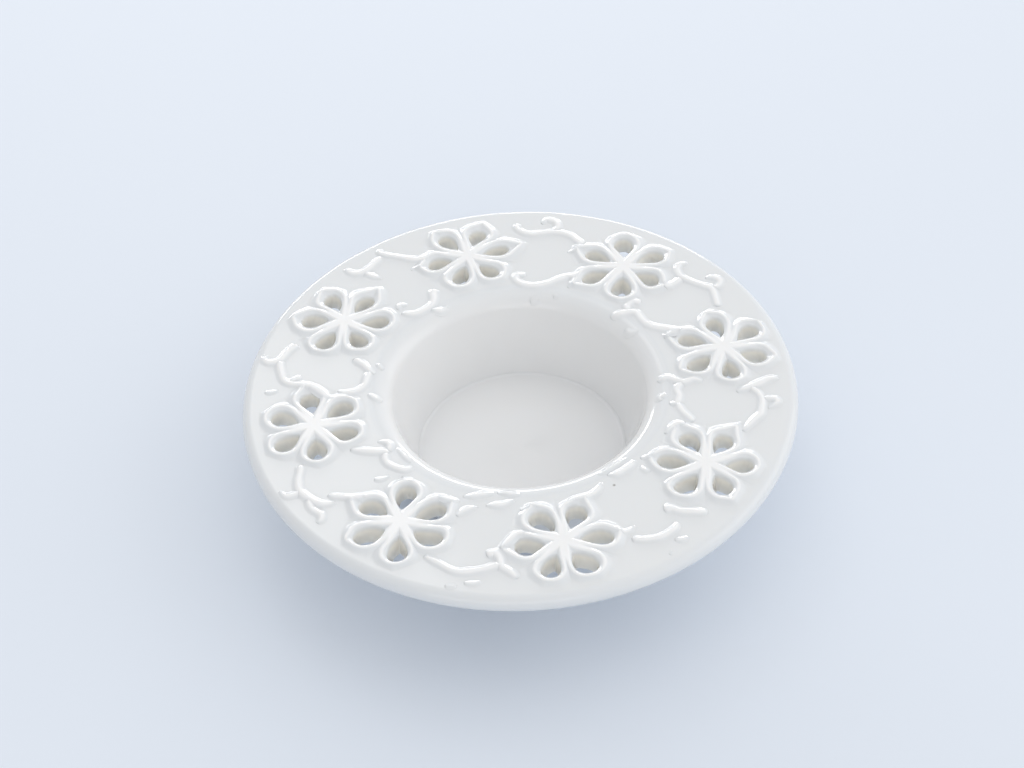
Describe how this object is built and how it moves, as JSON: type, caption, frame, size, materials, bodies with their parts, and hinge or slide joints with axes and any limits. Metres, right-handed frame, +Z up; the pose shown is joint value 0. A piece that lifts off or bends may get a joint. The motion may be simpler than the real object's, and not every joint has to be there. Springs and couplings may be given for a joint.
{
  "type": "candle plate",
  "caption": "Round white porcelain candle plate: a flat rim pierced with raised flowers and trailed with scrolls, round a deep tapered well that holds a tea light.",
  "frame": {"origin": "centre of the foot ring, on the surface the plate stands on", "axes": "+Z up along the axis of the well, +X to the right and +Y away from the viewer in the picture"},
  "size_m": [0.11, 0.11, 0.0231],
  "materials": {
    "glaze": "glossy clear glaze on white porcelain",
    "bare_clay": "matt, unglazed"
  },
  "bodies": {
    "root": {"pierced_rim": "glaze", "candle_well": "glaze", "well_floor": "glaze", "foot_ring": "bare_clay", "outer_scroll_1": "glaze", "outer_scroll_2": "glaze", "outer_scroll_3": "glaze", "outer_scroll_4": "glaze", "outer_scroll_5": "glaze", "outer_scroll_6": "glaze", "outer_scroll_7": "glaze", "outer_scroll_8": "glaze", "inner_scroll_1": "glaze", "inner_scroll_2": "glaze", "inner_scroll_3": "glaze", "inner_scroll_4": "glaze", "inner_scroll_5": "glaze", "inner_scroll_6": "glaze", "inner_scroll_7": "glaze", "inner_scroll_8": "glaze"}
  },
  "joints": []
}
